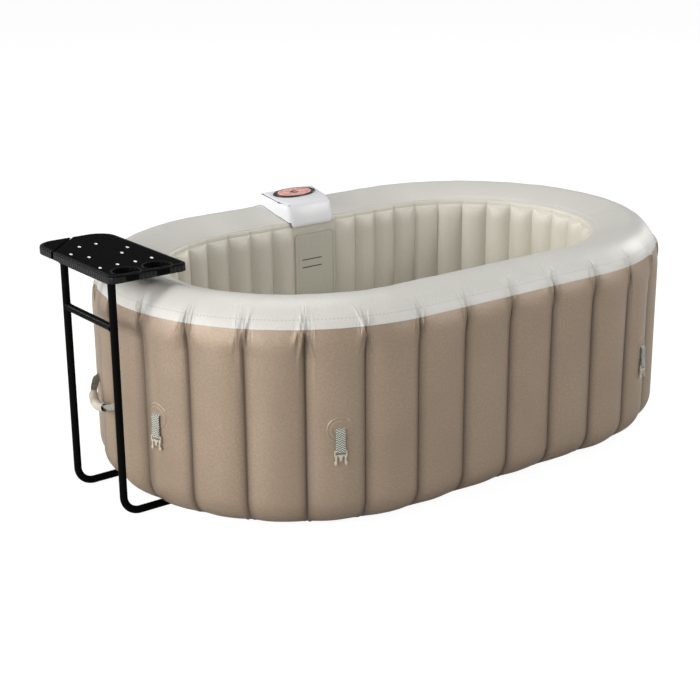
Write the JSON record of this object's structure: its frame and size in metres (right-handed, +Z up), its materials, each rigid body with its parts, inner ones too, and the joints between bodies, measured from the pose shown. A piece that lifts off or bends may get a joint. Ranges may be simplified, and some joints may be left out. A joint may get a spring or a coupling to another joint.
{
  "type": "inflatable hot tub",
  "caption": "Stadium-shaped inflatable hot tub with channelled walls, a control box on its rim, carry handles, cover straps and a drink tray on a tubular stand.",
  "frame": {"origin": "on the ground, at the middle of the tub in plan", "axes": "+X along the tub away from the drink tray, +Y towards the control box, +Z up"},
  "size_m": [2.0152, 1.2723, 0.705],
  "materials": {
    "tan_skin": "fine-grained PVC leather",
    "cream_skin": "fine-grained PVC leather",
    "basin_skin": "smooth PVC",
    "white_plastic": "satin",
    "cream_plastic": "satin",
    "black_plastic": "woven relief, satin",
    "black_steel": "powder coat, satin",
    "grey_plastic": "matt",
    "webbing": "woven",
    "red_key": "satin",
    "dark_glass": "gloss",
    "steel": "brushed",
    "rubber": "matt",
    "board_green": "satin"
  },
  "bodies": {
    "tub": {"outer_wall": "tan_skin", "rim_top": "cream_skin", "inner_wall": "basin_skin", "floor_sheet": "basin_skin", "base_sheet": "basin_skin", "wall_web": "basin_skin", "level_panel": "basin_skin", "bubble_ring": "grey_plastic", "air_pipe": "grey_plastic", "drain_valve_body": "cream_plastic", "air_valve_body": "cream_plastic", "filter_base": "cream_plastic", "return_nozzle": "cream_plastic", "control_housing": "white_plastic", "panel_bezel": "black_plastic", "display_window": "dark_glass", "control_board": "board_green", "equipment_case": "grey_plastic", "service_cover": "white_plastic", "power_gland": "rubber", "pump_body": "grey_plastic", "heater_tube": "steel", "suction_hose": "rubber", "return_hose": "rubber", "blower_housing": "grey_plastic"},
    "key_body_1": {"key_1": "red_key"},
    "key_body_2": {"key_2": "red_key"},
    "key_body_3": {"key_3": "red_key"},
    "key_body_4": {"key_4": "red_key"},
    "key_body_5": {"key_5": "red_key"},
    "key_body_6": {"key_6": "red_key"},
    "strap_body_1": {"cover_strap_1": "webbing", "cover_buckle_1": "cream_plastic"},
    "strap_body_2": {"cover_strap_2": "webbing", "cover_buckle_2": "cream_plastic"},
    "strap_body_3": {"cover_strap_3": "webbing", "cover_buckle_3": "cream_plastic"},
    "strap_body_4": {"cover_strap_4": "webbing", "cover_buckle_4": "cream_plastic"},
    "strap_body_5": {"cover_strap_5": "webbing", "cover_buckle_5": "cream_plastic"},
    "strap_body_6": {"cover_strap_6": "webbing", "cover_buckle_6": "cream_plastic"},
    "handle_body_left": {"handle_loop_left": "webbing", "handle_grip_left": "cream_plastic"},
    "handle_body_right": {"handle_loop_right": "webbing", "handle_grip_right": "cream_plastic"},
    "drain_cap_body": {"drain_cap": "cream_plastic"},
    "air_cap_body": {"air_valve_cap": "cream_plastic"},
    "cartridge_body": {"filter_cartridge": "cream_skin"},
    "filter_cap_body": {"filter_cap": "cream_plastic"},
    "impeller_body": {"pump_impeller": "black_plastic"},
    "fan_body": {"blower_fan": "black_plastic"},
    "stand": {"drink_tray": "black_plastic", "stand_frame_near": "black_steel", "stand_frame_far": "black_steel", "stand_crossbar": "black_steel", "tray_bracket": "black_steel", "tray_screw_near": "steel", "tray_screw_far": "steel"}
  },
  "joints": [
    {"name": "key_1_press", "type": "slide", "parent": "tub", "child": "key_body_1", "axis": [0, 0.225, -0.9744], "range_m": [0, 0.001], "stiffness_N_per_m": 400, "springref_m": -0.0005},
    {"name": "key_2_press", "type": "slide", "parent": "tub", "child": "key_body_2", "axis": [0, 0.225, -0.9744], "range_m": [0, 0.001], "stiffness_N_per_m": 400, "springref_m": -0.0005},
    {"name": "key_3_press", "type": "slide", "parent": "tub", "child": "key_body_3", "axis": [0, 0.225, -0.9744], "range_m": [0, 0.001], "stiffness_N_per_m": 400, "springref_m": -0.0005},
    {"name": "key_4_press", "type": "slide", "parent": "tub", "child": "key_body_4", "axis": [0, 0.225, -0.9744], "range_m": [0, 0.001], "stiffness_N_per_m": 400, "springref_m": -0.0005},
    {"name": "key_5_press", "type": "slide", "parent": "tub", "child": "key_body_5", "axis": [0, 0.225, -0.9744], "range_m": [0, 0.001], "stiffness_N_per_m": 400, "springref_m": -0.0005},
    {"name": "key_6_press", "type": "slide", "parent": "tub", "child": "key_body_6", "axis": [0, 0.225, -0.9744], "range_m": [0, 0.001], "stiffness_N_per_m": 400, "springref_m": -0.0005},
    {"name": "cover_strap_1_lift", "type": "hinge", "parent": "tub", "child": "strap_body_1", "pos_m": [-0.93, -0.15439, 0.311], "axis": [-0.2891, 0.9573, 0], "range_deg": [0, 120]},
    {"name": "cover_strap_2_lift", "type": "hinge", "parent": "tub", "child": "strap_body_2", "pos_m": [-0.60093, -0.55226, 0.311], "axis": [-0.8977, 0.4405, 0], "range_deg": [0, 120]},
    {"name": "cover_strap_3_lift", "type": "hinge", "parent": "tub", "child": "strap_body_3", "pos_m": [-0.6285, 0.5382, 0.311], "axis": [0.8799, 0.4751, 0], "range_deg": [0, 120]},
    {"name": "cover_strap_4_lift", "type": "hinge", "parent": "tub", "child": "strap_body_4", "pos_m": [0.52961, 0.58089, 0.311], "axis": [0.9495, -0.3139, 0], "range_deg": [0, 120]},
    {"name": "cover_strap_5_lift", "type": "hinge", "parent": "tub", "child": "strap_body_5", "pos_m": [0.90276, -0.23414, 0.311], "axis": [-0.3813, -0.9244, 0], "range_deg": [0, 120]},
    {"name": "cover_strap_6_lift", "type": "hinge", "parent": "tub", "child": "strap_body_6", "pos_m": [0.56275, -0.56897, 0.311], "axis": [-0.9365, -0.3506, 0], "range_deg": [0, 120]},
    {"name": "handle_left_lift", "type": "hinge", "parent": "tub", "child": "handle_body_left", "pos_m": [-0.916, 0.13313, 0.297], "axis": [0.2367, 0.9716, 0], "range_deg": [0, 80]},
    {"name": "handle_right_lift", "type": "hinge", "parent": "tub", "child": "handle_body_right", "pos_m": [0.91339, 0.13394, 0.297], "axis": [0.1957, -0.9807, 0], "range_deg": [0, 80]},
    {"name": "drain_cap_turn", "type": "hinge", "parent": "tub", "child": "drain_cap_body", "pos_m": [-0.30538, 0.62327, 0.15], "axis": [0, 1, 0], "range_deg": [-90, 0]},
    {"name": "air_cap_turn", "type": "hinge", "parent": "tub", "child": "air_cap_body", "pos_m": [-0.30538, 0.62327, 0.44], "axis": [0, 1, 0], "range_deg": [-90, 0]},
    {"name": "filter_pull", "type": "slide", "parent": "tub", "child": "cartridge_body", "axis": [0, -1, 0], "range_m": [0, 0.1]},
    {"name": "filter_cap_turn", "type": "hinge", "parent": "cartridge_body", "child": "filter_cap_body", "pos_m": [-0.014, 0.32009, 0.16], "axis": [0, 1, 0], "range_deg": [0, 60]},
    {"name": "impeller_spin", "type": "hinge", "parent": "tub", "child": "impeller_body", "pos_m": [-0.014, 0.502, 0.185], "axis": [0, 1, 0], "continuous": true},
    {"name": "fan_spin", "type": "hinge", "parent": "tub", "child": "fan_body", "pos_m": [0.04, 0.527, 0.35], "axis": [0, 1, 0], "continuous": true},
    {"name": "stand_slide", "type": "slide", "parent": "tub", "child": "stand", "axis": [-1, 0, 0], "range_m": [0, 0.25]}
  ]
}
